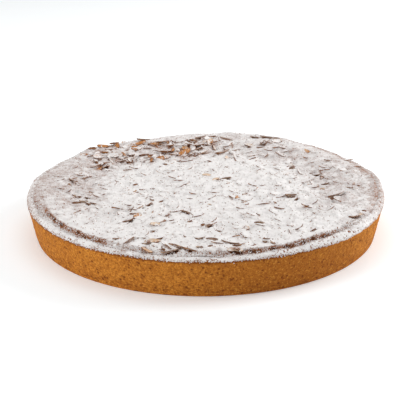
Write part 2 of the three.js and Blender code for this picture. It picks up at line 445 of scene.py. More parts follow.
def lay_flakes(name, placed):
    all_points = np.concatenate([row[0] for row in placed])
    faces = []
    for i in range(len(placed)):
        start = i * len(flake_points)
        faces += [tuple(start + corner for corner in face) for face in flake_faces]
    mesh = bpy.data.meshes.new(name)
    mesh.from_pydata((all_points * MM).tolist(), [], faces)
    piece = bpy.data.objects.new(name, mesh)
    bpy.context.scene.collection.objects.link(piece)
    write_layer(piece, "skin", np.tile(flake_skin, len(placed)))
    write_layer(piece, "thinness_and_shade", np.full(len(all_points), 0.25))
    write_layer(piece, "dusted", np.repeat([float(row[1]) for row in placed], len(flake_points)))
    write_layer(piece, "toast", np.repeat([float(row[2]) for row in placed], len(flake_points)))
    return piece


# %% [markdown]
# ## The bed of flakes
# Most flakes lie nearly flat, side by side and over each other, and were buried by the
# sugar. They are spread by the golden angle, which fills a round evenly with no rows
# showing, and every one is moved and turned a little by a draw that is the same on each
# run.

# %% Lay the bed
GOLDEN_ANGLE = math.pi * (3 - math.sqrt(5))
BED_FLAKES = 520
BED_LEAN = 9


def lay_bed(count, seed):
    draw = np.random.default_rng(seed)
    placed = []
    for i in range(count):
        size = draw.uniform(0.66, 1.12)
        reach = FILLING_RADIUS - 4 - FLAKE_LENGTH / 2 * size
        radius = reach * math.sqrt((i + 0.5) / count) + draw.uniform(-2.5, 2.5)
        angle = i * GOLDEN_ANGLE + draw.uniform(-0.1, 0.1)
        x, y = radius * math.cos(angle), radius * math.sin(angle)
        z = float(bed_height(x, y)) + draw.uniform(0.1, 0.9)
        lean = math.radians(BED_LEAN)
        placed.append(
            flake_at(
                x, y, z, size,
                roll=draw.normal(0, lean),
                tilt=draw.normal(0, lean),
                turn=draw.uniform(0, 2 * math.pi),
                narrowing=draw.uniform(0.1, 0.35),
                bow=draw.uniform(-0.7, 0.7),
                broken=draw.choice([1, 1, 0.5, 0.1]),
                dusted=draw.uniform(0.6, 1),
            )
        )
    return placed


bed = lay_flakes("flaked_almond_bed", lay_bed(BED_FLAKES, seed=4101))
print("bed:", BED_FLAKES, "flakes,", count_triangles(bed), "triangles")

# %% [markdown]
# ## The flakes on top
# The last layer leans more, so that under the sugar it makes low ridges, and its highest
# edges come through as thin brown lines. These are the flakes that the solid has, at the
# same places, drawn by the same rule in the same order.

# %% Lay the top flakes where the solid has them
TOP_FLAKES = 170
SMALLEST_FLAKE = 0.66
LARGEST_FLAKE = 1.16
FLAKE_TILT = 13
RIDGE_TILT = 24
RIDGE_RADIUS = 105
RIDGE_WIDTH = 35
EDGE_MARGIN = 0.7
RADIAL_SCATTER = 3
ANGLE_SCATTER = 0.12
SOLID_FLAKE_THICKNESS = 1.2
# How far a flake lies under the place that it has in the solid, where it is thicker.
SINKINGS = [0.8, 1.2, 1.5]


def draws_from(seed):
    """The same row of numbers from 0 to 1 that placed the solid's flakes."""
    state = seed
    while True:
        state = (state * 1664525 + 1013904223) % 2**32
        yield state / 2**32


def lay_top_flakes():
    draws = draws_from(20817)
    own = np.random.default_rng(77)
    placed = []
    for i in range(TOP_FLAKES):
        size = SMALLEST_FLAKE + (LARGEST_FLAKE - SMALLEST_FLAKE) * next(draws)
        reach = FILLING_RADIUS - EDGE_MARGIN - FLAKE_LENGTH / 2 * size
        spread = math.sqrt((i + 0.5) / TOP_FLAKES)
        radius = reach * spread + RADIAL_SCATTER * (next(draws) - 0.5) * (1 - spread)
        angle = i * GOLDEN_ANGLE + ANGLE_SCATTER * (next(draws) - 0.5)
        x, y = radius * math.cos(angle), radius * math.sin(angle)
        ridge = smoothstep(radius, RIDGE_RADIUS - RIDGE_WIDTH, RIDGE_RADIUS)
        ridge = ridge * smoothstep(math.sin(angle), 0.2, 0.8)
        steepest = math.radians(FLAKE_TILT + (RIDGE_TILT - FLAKE_TILT) * ridge)
        tilt = steepest * (next(draws) * 2 - 1)
        roll = math.radians(FLAKE_TILT) * (next(draws) * 2 - 1)
        turn = 2 * math.pi * next(draws)
        lift = SOLID_FLAKE_THICKNESS * (0.15 + 0.3 * next(draws))
        narrowing = 0.1 + 0.25 * next(draws)
        placed.append(
            flake_at(
                x, y, float(filling_top(x, y)) + lift - own.choice(SINKINGS),
                size, roll, tilt, turn, narrowing,
                bow=own.uniform(-0.9, 0.9),
                broken=own.choice([1, 1, 0.5, 0.2]),
                slim=own.uniform(0.45, 1),
                dusted=own.uniform(0.6, 1),
            )
        )
    return placed


top_flakes = lay_flakes("flaked_almonds", lay_top_flakes())
print("top flakes:", count_triangles(top_flakes), "triangles")

# %% [markdown]
# ## Where flakes stand out
# Some flakes lean so much that the sugar could not bury them. Each leaves a narrow dark
# gap under its raised edge. They are chosen before the sugar falls, because the sugar has
# to stay out of those gaps. The single ones stand where the photograph has dark marks:
# their places, turns, sizes and gaps, and in part their slimness, follow what a separate
# script measured on it, rounded and sorted by hand, so their list is a record and no
# pattern to follow. Four flakes on the back edge are listed too. Those of the heaps and
# all others are drawn.

# %% Choose the flakes that stand
# Across, deep, turn in degrees, size, lean in degrees, slimness, depth of the gap. A
# lean below 0 tips the flake's face forward instead of its edge.
SINGLE_FLAKES = [
    (-94, -28, 0, 0.45, 38, 1, 3),
    (-99, -33, 10, 0.5, 28, 0.5, 1.8),
    (-90, -33, -45, 0.45, 28, 0.5, 1.7),
    (-86, -30, -15, 0.4, 22, 0.4, 1.1),
    (-102, -17, 10, 0.25, 25, 0.6, 1.1),
    (-98, -18, 0, 0.25, 25, 0.6, 1.3),
    (-92, -18, -25, 0.3, 25, 0.6, 1.3),
    (-90, -7, -35, 0.3, 25, 0.6, 1.2),
    (-106, 13, -50, 0.75, 25, 0.5, 1.4),
    (-108, 6, -20, 0.3, 22, 0.5, 0.9),
    (-103, 9, 15, 0.4, -20, 0.6, 0.4),
    (101, -22, 30, 1, 36, 0.7, 2.8),
    (66, -21, -8, 0.6, 30, 0.7, 2),
    (70, -28, 50, 0.4, 28, 0.6, 1.3),
    (96, 13, 19, 0.5, 30, 0.6, 1.7),
    (122, -4, -42, 0.4, 20, 0.4, 0.8),
    (113, -8, -48, 0.5, 20, 0.3, 0.8),
    (86, 8, -80, 1.1, 18, 0.2, 0.7),
    (90, 9, 88, 0.6, 18, 0.2, 0.7),
    (68, 11, -88, 0.7, 18, 0.2, 0.7),
    (78, 38, -78, 0.8, 18, 0.25, 0.8),
    (96, 28, -63, 0.5, 20, 0.4, 0.9),
    (72, 53, 8, 0.55, -35, 0.7, 0.9),
    (72, 49, 0, 0.35, 30, 0.6, 1.6),
    (109, -71, 28, 0.65, 30, 0.6, 1.9),
    (118, -57, 0, 0.35, 25, 0.5, 1.1),
    (114, -66, 20, 0.4, -30, 0.6, 0.3),
    (75, -45, -37, 0.45, 22, 0.3, 0.8),
    (56, -49, -22, 0.65, 20, 0.25, 0.8),
    (25, -27, 40, 0.35, -28, 0.8, 0.7),
    (20, -27, -65, 0.6, 20, 0.3, 0.8),
    (30, -33, 45, 0.5, 20, 0.25, 0.8),
    (31, -19, 40, 0.45, 18, 0.2, 0.6),
    (53, -36, -45, 0.25, 18, 0.3, 0.6),
    (15, 18, 33, 0.9, 30, 0.6, 1.8),
    (9, 16, 25, 0.5, -25, 0.6, 0.5),
    (2, 29, -8, 0.6, -22, 0.5, 0.6),
    (-34, 55, 0, 0.3, 25, 0.6, 1.1),
    (4, 62, 8, 0.25, 25, 0.6, 0.9),
    (43, 34, -85, 0.4, 18, 0.25, 0.8),
    (-55, -8, 45, 0.5, 25, 0.4, 1.3),
    (-50, -1, 20, 0.35, 25, 0.5, 1.2),
    (-56, 9, 35, 0.35, 20, 0.3, 0.9),
    (-24, -15, 77, 0.4, 20, 0.3, 0.8),
    (-41, -30, -50, 0.4, 25, 0.4, 1.1),
    (-34, -30, 50, 0.4, 22, 0.4, 0.9),
    (-43, -38, 60, 0.7, 25, 0.4, 1.4),
    (-49, -48, 55, 0.6, 25, 0.4, 1.2),
    (-56, -52, 47, 0.4, 22, 0.4, 0.9),
    (-56, -69, 45, 0.9, 30, 0.6, 1.6),
    (-50, -64, 40, 0.55, -30, 0.8, 0.3),
    (-15, -53, -42, 0.85, 25, 0.35, 1.4),
    (-28, -63, 70, 0.6, 20, 0.3, 0.9),
    (-31, -74, 70, 0.6, 22, 0.4, 1),
    (-25, -73, 20, 0.4, 22, 0.4, 1),
    (-11, -72, 40, 0.4, 22, 0.4, 0.9),
    (-36, -80, 20, 0.6, -22, 0.6, 0.5),
    (4, -80, 45, 0.75, 28, 0.4, 1.7),
    (-2, -80, 10, 0.25, 20, 0.5, 0.9),
    (10, -89, 0, 0.3, 22, 0.5, 0.9),
    (39, -78, -9, 0.5, 28, 0.5, 1.4),
    (29, -84, -60, 0.55, -28, 0.8, 0.7),
    (22, -96, -84, 0.8, 18, 0.2, 0.6),
    (39, -62, -75, 0.6, 18, 0.2, 0.6),
    (60, -98, -88, 0.8, 18, 0.2, 0.6),
    (67, -91, 60, 0.8, 20, 0.25, 1),
    (77, -97, 48, 0.6, 22, 0.35, 1.2),
    (-37, -113, 8, 0.8, -28, 0.5, 1),
    (-39, -116, 8, 0.75, 30, 0.5, 1.5),
    (-31, -110, 28, 0.45, 25, 0.4, 1.2),
    (-54, -112, 60, 0.85, 28, 0.45, 1.4),
    (-62, -109, 45, 0.6, 22, 0.35, 1),
    (-5, -109, 6, 0.6, 28, 0.55, 1.8),
    (4, -111, -8, 0.6, 30, 0.6, 2.1),
    (-14, -104, -50, 0.4, 20, 0.35, 0.7),
    (-14, -126, -35, 1.3, 28, 0.35, 1.9),
    (-23, -119, -35, 0.5, 22, 0.25, 0.9),
    (-26, -123, -60, 0.6, 22, 0.5, 0.8),
    (-24, -129, 24, 1, 30, 0.4, 2.2),
    (-4, -126, 0, 0.4, 28, 0.5, 1.4),
    (4, -124, 6, 0.4, 28, 0.4, 1.4),
    (22, -123, -10, 0.5, 28, 0.5, 1.8),
    (18, -130, 8, 0.5, -35, 0.6, 0.9),
    (24, -129, -60, 0.5, -30, 0.6, 0.9),
    (20, -130, 0, 0.35, 30, 0.6, 1.8),
    (42, -115, 17, 0.35, 25, 0.5, 1),
    (47, -118, -40, 0.4, 25, 0.5, 1.2),
    (33, -121, 62, 0.5, 20, 0.3, 1),
    (-29, -126, -85, 0.8, 20, 0.3, 1),
    (-47, -127, 0, 0.5, 28, 0.6, 1.8),
    (14, 82, 15, 0.7, 35, 0.7, 2.1),
    (19, 74, 70, 0.7, -25, 0.5, 0.8),
    (26, 70, -84, 1.2, 25, 0.25, 0.9),
    (18, 97, -83, 0.75, 28, 0.4, 1.2),
    (-2, 88, 50, 1.1, 35, 0.5, 1.9),
    (-5, 102, 60, 1.2, 35, 0.4, 1.7),
    (-11, 84, -35, 0.9, -40, 0.6, 1),
    (-10, 107, -13, 0.4, 25, 0.5, 1.1),
    (48, 96, 23, 0.45, 25, 0.5, 1.1),
    (53, 80, 60, 0.8, 20, 0.2, 0.7),
    (51, 104, 0, 0.4, 22, 0.5, 0.9),
    (87, 79, -51, 0.5, -20, 0.8, 0.6),
    (102, 54, -27, 0.4, 20, 0.4, 0.7),
    (55, 120, -15, 0.8, 35, 0.5, 1.6),
    (45, 122, -30, 0.7, 35, 0.5, 1.2),
    (63, 115, 10, 0.5, 30, 0.5, 1.2),
    (8, 128, 3, 1.1, 35, 0.4, 1),
    (-3, 121, 30, 0.9, 35, 0.4, 1),
    (19, 121, -40, 1, 35, 0.4, 1),
    (23, 104, 85, 0.8, 30, 0.35, 0.9),
    (-55, 118, -8, 0.8, 35, 0.4, 1.4),
    (-27, 110, -42, 0.6, 25, 0.3, 0.9),
    (119, 58, 30, 0.8, 15, 0.6, 0.6),
    (126, 40, -20, 0.6, 20, 0.5, 0.6),
]
# Heaps: across, deep, how far they spread, how many flakes, steepest lean in degrees,
# and the share of them that tip their face forward.
HEAPS = [
    (-93, 72, 9, 10, 42, 0.6),
    (-75, 75, 11, 18, 48, 0.8),
    (-64, 66, 8, 9, 45, 0.8),
    (-87, 58, 9, 6, 28, 0.4),
    (-84, 92, 13, 14, 38, 0.6),
    (-68, 98, 12, 12, 36, 0.6),
    (-48, 75, 9, 8, 36, 0.6),
    (-20, 88, 12, 16, 40, 0.6),
    (-35, 72, 10, 8, 30, 0.6),
    (-40, 110, 15, 12, 34, 0.5),
    (-14, 106, 14, 8, 32, 0.5),
    (2, 112, 16, 8, 30, 0.4),
    (48, 112, 18, 5, 26, 0.4),
    (96, 32, 12, 4, 18, 0.3),
    (-36, -50, 16, 2, 22, 0.4),
    (-36, -122, 16, 2, 26, 0.3),
    (10, -126, 18, 2, 26, 0.4),
]
# Flakes that lie on the back edge and break the outline: across, deep, turn, size and
# lean.
EDGE_FLAKES = [
    (-96, 91, -15, 0.8, 35),
    (-89, 97, -5, 0.7, -20),
    (-77, 103, 5, 0.9, 30),
    (-54, 112, -8, 0.8, 30),
]
DRAWN_FLAKES = 24
DEEP_GAP = 1.5


def toast_at(x, y):
    """How dark a flake baked: most of all in the heap at the back left."""
    return 0.2 + 0.6 * math.exp(-(((x + 60) / 60) ** 2) - ((y - 78) / 30) ** 2)


def choose_standing_flakes(seed):
    """Rows of across, deep, turn, size, lean, slimness, gap depth, dust and lift."""
    draw = np.random.default_rng(seed)
    rows = []
    for single in SINGLE_FLAKES:
        edge_on = single[4] > 0
        dust = draw.uniform(0.6, 0.95) if edge_on else draw.uniform(0.35, 0.7)
        lift = 0.25 + 0.8 * max(0, single[6] - DEEP_GAP - 0.5) if edge_on else 0.05
        rows.append((*single, dust, lift))
    for x, y, turn, size, lean in EDGE_FLAKES:
        rows.append((x, y, turn, size, lean, 0.6, 0, 0.4, 1.2))
    for across, deep, spread, count, steepest, forward in HEAPS:
        for _ in range(count):
            x, y = draw.normal((across, deep), spread / 2)
            turn = draw.normal(0, 60)
            size = draw.uniform(0.4, 1)
            slim = draw.uniform(0.35, 0.8)
            lean = steepest * draw.uniform(0.5, 1.1)
            if draw.uniform() < forward:
                lean = -lean
            gap = draw.uniform(0.6, 2)
            dust = draw.choice([0.3, 0.6, 0.75, 0.9])
            rows.append((x, y, turn, size, lean, slim, gap, dust, draw.uniform(-0.2, 0.3)))
    for i in range(DRAWN_FLAKES):
        radius = 124 * math.sqrt((i + 0.5) / DRAWN_FLAKES)
        angle = i * GOLDEN_ANGLE + draw.uniform(-0.3, 0.3)
        x, y = radius * math.cos(angle), radius * math.sin(angle)
        size = draw.uniform(0.2, 0.45)
        slim = draw.uniform(0.25, 0.45)
        lean = draw.uniform(12, 28)
        gap = draw.choice([0.3, 0.6, 0.9])
        turn = draw.uniform(-180, 180)
        rows.append((x, y, turn, size, lean, slim, gap, draw.uniform(0.5, 1), -0.2))
    return [row for row in rows if math.hypot(row[0], row[1]) < 133]


standing = choose_standing_flakes(seed=905)
print("standing flakes:", len(standing))

# %% [markdown]
# ## The blanket of icing sugar
# Sifted sugar falls straight down and lies on whatever it meets. A fine grid is hung
# above the tart, its faces past the edge are cut away, and a Shrinkwrap modifier drops
# it onto the filling, the flakes and the inside of the lip. A Smooth modifier then rounds
# it as powder settles.

# %% Hang the grid and drop it
SUGAR_RADIUS = 136
SUGAR_CELL = 0.8
SUGAR_FALL = 60


def hang_sugar():
    cells = round(2 * SUGAR_RADIUS / SUGAR_CELL)
    bpy.ops.object.select_all(action="DESELECT")
    bpy.ops.mesh.primitive_grid_add(
        x_subdivisions=cells,
        y_subdivisions=cells,
        size=2 * SUGAR_RADIUS * MM,
        location=(0, 0, SUGAR_FALL * MM),
    )
    sugar = new_piece("icing_sugar_blanket")
    bpy.ops.object.transform_apply(location=True)
    bpy.ops.object.mode_set(mode="EDIT")
    bpy.ops.mesh.select_all(action="DESELECT")
    bpy.ops.object.mode_set(mode="OBJECT")
    for face in sugar.data.polygons:
        face.select = face.center.xy.length > (SUGAR_RADIUS - SUGAR_CELL / 2) * MM
    bpy.ops.object.mode_set(mode="EDIT")
    bpy.ops.mesh.delete(type="FACE")
    bpy.ops.object.mode_set(mode="OBJECT")
    return sugar


def drop_onto(sugar, *targets):
    """Drops the sheet straight down onto the pieces, joined for the purpose."""
    copies = []
    for target in targets:
        copy = target.copy()
        copy.data = target.data.copy()
        bpy.context.scene.collection.objects.link(copy)
        copies.append(copy)
    pick(copies[0])
    for copy in copies:
        copy.select_set(True)
    bpy.ops.object.join()
    ground = bpy.context.object
    wrap = sugar.modifiers.new("drop", "SHRINKWRAP")
    wrap.target = ground
    wrap.wrap_method = "PROJECT"
    wrap.use_project_z = True
    wrap.use_positive_direction = False
    wrap.use_negative_direction = True
    apply_all_modifiers(sugar)
    bpy.data.objects.remove(ground)


sugar = hang_sugar()
drop_onto(sugar, shell, filling, bed, top_flakes)
print("sugar blanket:", count_triangles(sugar), "triangles")

# %% [markdown]
# The filling ends in a shelf behind the lip. Its baked edge is steep and shows brown at
# the front left and front right, and elsewhere the sugar slopes over it. The whole blanket
# is then settled unevenly, thickened a little, and dented where a flake keeps it off.

# %% Settle the sugar
SETTLING = 6
SUGAR_THICKNESS = 0.55
# Where the baked edge of the filling shows, at angles round the tart.
GROOVE_LINE = [(-180, 128), (-165, 128.5), (-150, 131), (-130, 132.4), (-60, 132.6), (-35, 133.6)]
GROOVE_HALF_WIDTH = 1.7
SHELF_STARTS = 127.5
CLOSED_SLOPE = (127.5, 136)
OPEN_SLOPE = (130.8, 133.9)
OPEN_DROP = 0.9
GROOVE_DROP = 0.4
GAP_DEPTH = 0.45


def groove_opening(x, y):
    """How open the groove is: 1 at the front left and front right, 0 at the back."""
    angle = np.degrees(np.arctan2(y, x))
    left = smoothstep(angle, -176, -140) * (1 - smoothstep(angle, -124, -117))
    right = smoothstep(angle, -90, -77) * (1 - smoothstep(angle, -52, -30))
    return np.clip(left + right + 0.3 * drift(x, y, 2.5) - 0.12, 0, 1)


def in_groove(x, y):
    """1 on the baked edge that the groove shows, 0 away from it."""
    radius = np.hypot(x, y)
    angle = np.degrees(np.arctan2(y, x))
    places, radii = zip(*GROOVE_LINE)
    centre = np.interp(angle, places, radii) + 0.3 * drift(x, y, 6)
    half_width = GROOVE_HALF_WIDTH + 0.5 * drift(y, x, 3)
    return np.exp(-(((radius - centre) / half_width) ** 4))


def fill_groove(points):
    """Fills the groove to a shelf with a slope behind the lip, steep where it stays open."""
    x, y, z = points.T
    radius = np.maximum(np.hypot(x, y), 1e-6)
    opening = groove_opening(x, y)
    starts = CLOSED_SLOPE[0] + (OPEN_SLOPE[0] - CLOSED_SLOPE[0]) * opening
    ends = CLOSED_SLOPE[1] + (OPEN_SLOPE[1] - CLOSED_SLOPE[1]) * opening
    share = smoothstep(radius + 0.4 * drift(x, y, 4), starts, ends)
    shelf = filling_top(x / radius * SHELF_STARTS, y / radius * SHELF_STARTS)
    lip = RIM_HEIGHT + lip_rise(np.arctan2(y, x)) - OPEN_DROP * opening
    filled = shelf + (lip - shelf) * share
    inside = (radius > SHELF_STARTS) & (radius < CLOSED_SLOPE[1])
    points[:, 2] = z + np.where(inside, np.maximum(filled - z, 0), 0)


def gap_share(x, y, row):
    """1 in the hollow under a standing flake's raised edge, 0 away from it."""
    across, deep, turn, size, _, slim = row[:6]
    cos, sin = math.cos(math.radians(turn)), math.sin(math.radians(turn))
    half_width = FLAKE_WIDTH / 2 * size * slim
    along = ((x - across) * cos + (y - deep) * sin) / (FLAKE_LENGTH * size * 0.38)
    outward = (x - across) * sin - (y - deep) * cos - 0.5 * half_width
    return np.exp(-(along**4) - (outward / (0.7 * half_width + 0.4)) ** 4)


def settle_sugar(sugar):
    points = points_of(sugar)
    fill_groove(points)
    put_points(sugar, points)
    looseness = 0.75 + 0.45 * drift(points[:, 0], points[:, 1], 6)
    weigh(sugar, "loose", looseness)
    settle = sugar.modifiers.new("settle", "SMOOTH")
    settle.factor = 0.5
    settle.iterations = SETTLING
    settle.vertex_group = "loose"
    apply_all_modifiers(sugar)
    points = points_of(sugar)
    x, y, _ = points.T
    towards_edge = smoothstep(np.hypot(x, y), 133, SUGAR_RADIUS)
    points[:, 2] += (SUGAR_THICKNESS + 0.25 * drift(x, y, 9)) * (1 - 0.9 * towards_edge)
    points[:, 2] -= GROOVE_DROP * in_groove(x, y) * groove_opening(x, y)
    for row in standing:
        near = np.hypot(x - row[0], y - row[1]) < 14
        points[near, 2] -= GAP_DEPTH * row[6] * gap_share(x[near], y[near], row)
    put_points(sugar, points)
    roughen(sugar, lump=9, depth=0.6, direction="Z")
    roughen(sugar, lump=3.5, depth=0.75, direction="Z")
    roughen(sugar, lump=1.7, depth=0.9, direction="Z")


settle_sugar(sugar)

# %% [markdown]
# The material has to know where the sugar lies thin and where shade is painted, so every
# point gets a thinness: a little on the outer ring, where it is partly painted shade, more
# in the groove, and most in a gap, where it paints the shadow under the flake. The sheet's
# height is also kept as a table, to set things down on it. Then the sheet is closed underneath.

# %% Write the thinness and the painted shade down and close the sheet
# Places where the sugar is thin: across, deep, half their width, and how bare they are.
BARE_PATCHES = [
    (-56, -122, 5, 0.75),
    (-49, -125, 3, 0.6),
    (-42, -127, 3, 0.8),
    (2, -133, 4, 0.7),
    (10, -133, 4, 0.8),
    (20, -130, 5, 0.9),
    (-75, 70, 16, 0.55),
    (-90, 88, 12, 0.6),
    (-18, 80, 16, 0.55),
    (-40, 100, 18, 0.48),
    (6, 112, 18, 0.5),
    (26, 84, 8, 0.4),
    (62, 74, 10, 0.42),
    (98, 30, 14, 0.42),
]


def bare_share(x, y):
    share = np.zeros_like(x)
    for across, deep, half_width, bareness in BARE_PATCHES:
        away = np.hypot(x - across, y - deep) / half_width
        share = np.maximum(share, bareness * np.exp(-(away**2)))
    return share


def browned_rim(x, y):
    """The sugar is rubbed off the rim at the right, and a little at the left."""
    angle = np.degrees(np.arctan2(y, x))
    right = smoothstep(angle, -35, -10) * (1 - smoothstep(angle, 45, 70))
    left = smoothstep(np.abs(angle), 145, 165)
    return (0.4 * right + 0.2 * left) * smoothstep(np.hypot(x, y), 126, 138)


def write_thinness_and_shade(sheet):
    x, y, _ = points_of(sheet).T
    radius = np.maximum(np.hypot(x, y), 1)
    # The outer ring greys: partly thinner sugar, partly painted shade on its slopes. The sides get
    # more painted shade, the left most, and the front little.
    in_front = smoothstep(-y / radius, 0.2, 0.85)
    side_shade = np.where(x > 0, 0.09, 0.16) * np.abs(x) / radius
    ring = (0.24 + side_shade) * (1 - 0.85 * in_front)
    thinness_and_shade = ring * smoothstep(radius, 62, 100) + 0.12 * drift(x, y, 8) + 0.1 * drift(y, x, 3)
    thinness_and_shade = np.maximum(thinness_and_shade, bare_share(x, y) + 0.2 * drift(x, y, 2)) + browned_rim(x, y)
    # The open groove shows the baked filling brown, and along its middle painted shade.
    thinness_and_shade += 1.15 * in_groove(x, y) * groove_opening(x, y)
    # Under each standing flake's raised edge the value goes up to 1.3, which paints the hollow's
    # shadow dark.
    for row in standing:
        near = np.hypot(x - row[0], y - row[1]) < 14
        share = smoothstep(gap_share(x[near], y[near], row), 0.3, 0.7)
        thinness_and_shade[near] = np.maximum(thinness_and_shade[near], share * min(1.3, row[6] ** 2))
    write_layer(sheet, "thinness_and_shade", np.clip(thinness_and_shade, 0, 1.3))


def table_of_heights(sheet):
    cells = round(2 * SUGAR_RADIUS / SUGAR_CELL)
    table = np.full((cells + 3, cells + 3), WALL_TOP)
    points = points_of(sheet)
    columns = np.round((points[:, :2] + SUGAR_RADIUS) / SUGAR_CELL).astype(int)
    table[columns[:, 0], columns[:, 1]] = points[:, 2]
    return table


def sugar_height(x, y):
    column = np.round((np.array([x, y]) + SUGAR_RADIUS) / SUGAR_CELL).astype(int)
    return sugar_table[tuple(column)]


def close_underneath(sheet, bottom):
    """Extrudes the sheet's edge down and fills it, so that the sugar is a closed body."""
    pick(sheet)
    bpy.ops.object.mode_set(mode="EDIT")
    bpy.ops.mesh.select_all(action="DESELECT")
    bpy.ops.mesh.select_non_manifold(extend=False)
    bpy.ops.mesh.extrude_edges_move(TRANSFORM_OT_translate={"value": (0, 0, -1 * MM)})
    bpy.ops.transform.resize(value=(0.98, 0.98, 0), center_override=(0, 0, bottom * MM))
    bpy.ops.mesh.edge_face_add()
    finish_editing()


sugar_table = table_of_heights(sugar)
close_underneath(sugar, bottom=WALL_TOP - 2)
write_thinness_and_shade(sugar)

# %% [markdown]
# Now the standing flakes go in. Each dips into the sugar on one side, with its raised
# edge over its own gap.

# %% Stand the flakes in the sugar
def stand_flakes(seed):
    draw = np.random.default_rng(seed)
    placed = []
    for x, y, turn, size, lean, slim, gap, dusted, lift in standing:
        z = float(sugar_height(x, y)) + GAP_DEPTH * gap + lift
        broken = draw.choice([1, 0.6, 0.2])
        placed.append(
            flake_at(
                x, y, z, size,
                roll=-math.radians(lean),
                tilt=math.radians(draw.normal(0, 5)),
                turn=math.radians(turn),
                narrowing=draw.uniform(0.1, 0.35),
                bow=draw.uniform(-0.8, 0.8),
                broken=1 if gap > DEEP_GAP else broken,
                slim=slim,
                dusted=dusted,
                toast=toast_at(x, y) + draw.uniform(-0.2, 0.2),
            )
        )
    return placed


standing_flakes = lay_flakes("standing_almonds", stand_flakes(seed=906))
print("standing flakes:", count_triangles(standing_flakes), "triangles")

# %% [markdown]
# ## Sugar on the lip
# The lip caught a band of sugar as wide as itself. It is a ring that wraps the lip: a
# small circle is bent to the lip's section and spun once round. Its noise is as deep as
# the layer is thick, so it dips under the crust here and there, and its lower edge comes
# out ragged.

# %% Model the sugar ring
RING_STEPS = 1080
RING_POINTS = 33
RING_THICKNESS = 0.4
# Where the sugar ends on the outside: an angle round the tart, and one round the lip's
# section, which is 0 where the lip is widest.
HEM = [
    (-180, 15), (-165, 22), (-150, 16), (-138, 2), (-126, 6), (-114, 24), (-100, 14),
    (-80, 12), (-62, 4), (-50, -14), (-40, -22), (-30, -26), (-15, -12), (0, 0), (90, 4),
    (180, 15),
]


def hem(x, y):
    angle = np.degrees(np.arctan2(y, x))
    level = np.interp(angle, [place for place, _ in HEM], [height for _, height in HEM])
    return level + 8 * drift(x, y, 4) + 6 * drift(y, x, 1.7)


def model_sugar_ring():
    bpy.ops.object.select_all(action="DESELECT")
    bpy.ops.mesh.primitive_circle_add(vertices=RING_POINTS, radius=LIP_ROUNDING * MM)
    ring = new_piece("icing_sugar_on_lip")
    section = []
    outer = RING_POINTS - 6
    for radius, height in arc(LIP_CENTRE, WALL_TOP, LIP_ROUNDING, -38, 188, outer - 1):
        section.append((radius, 0, height))
    for radius, height in arc(LIP_CENTRE, WALL_TOP, LIP_ROUNDING - 1.4, 175, -30, 5):
        section.append((radius, 0, height))
    put_points(ring, np.array(section))
    start_editing()
    bpy.ops.mesh.spin(
        steps=RING_STEPS, angle=2 * math.pi, center=(0, 0, 0), axis=(0, 0, 1)
    )
    bpy.ops.mesh.select_all(action="SELECT")
    bpy.ops.mesh.remove_doubles(threshold=0.01 * MM)
    finish_editing()
    return ring


def settle_ring(ring):
    """Lifts the sugar off the crust between its two edges, and writes its thinness."""
    points = points_of(ring)
    x, y, _ = points.T
    radius = np.hypot(x, y)
    across = radius - LIP_CENTRE
    up = points[:, 2] - WALL_TOP
    round_lip = np.degrees(np.arctan2(up, across))
    edge = hem(x, y)
    lift = RING_THICKNESS * smoothstep(round_lip, edge - 8, edge + 8)
    lift = lift * (1 - smoothstep(round_lip, 140, 178)) - 0.12
    lift += 0.3 * (1 - smoothstep(round_lip, -35, 0))
    lift -= 0.7 * (1 - smoothstep(round_lip, edge - 9, edge))
    outside = np.hypot(across, up) > LIP_ROUNDING - 0.5
    scale = np.where(outside, 1 + lift / LIP_ROUNDING, 1)
    low = 1 - smoothstep(round_lip, edge, edge + 32)
    thinness_and_shade = 0.12 + 0.4 * low + 0.15 * drift(x, y, 5) + 0.15 * drift(y, x, 2)
    thinness_and_shade = np.maximum(thinness_and_shade, bare_share(x, y)) + browned_rim(x, y)
    # The groove shows brown on the lip's sugar too, with a little painted shade at its middle.
    thinness_and_shade += 0.9 * in_groove(x, y) * groove_opening(x, y)
    write_layer(ring, "thinness_and_shade", np.clip(thinness_and_shade, 0, 1))
    new_radius = LIP_CENTRE + across * scale
    points[:, 0] *= new_radius / radius
    points[:, 1] *= new_radius / radius
    points[:, 2] = WALL_TOP + up * scale
    put_points(ring, press_lip(points))


sugar_ring = model_sugar_ring()
settle_ring(sugar_ring)
roughen(sugar_ring, lump=4, depth=0.5)
roughen(sugar_ring, lump=1.4, depth=1)
print("sugar ring:", count_triangles(sugar_ring), "triangles")

# %% [markdown]
# ## Loose grains
# Powder sugar clumps. Small clumps lie all over the lip, along its hem, in the groove and
# on the top, and give the white its speckle. One clump is a coarse ball, squashed, and the rest are
# copies of its points.

# %% Model a clump and copy it
def clump_points():
    bpy.ops.object.select_all(action="DESELECT")
    bpy.ops.mesh.primitive_ico_sphere_add(subdivisions=1, radius=0.5 * MM)
    clump = new_piece("clump_to_copy")
    start_editing()
    bpy.ops.transform.resize(value=(1, 0.85, 0.7))
    bpy.ops.object.mode_set(mode="OBJECT")
    points = points_of(clump)
    faces = np.array([tuple(face.vertices) for face in clump.data.polygons])
    bpy.data.objects.remove(clump)
    return points, faces


CLUMP, CLUMP_FACES = clump_points()


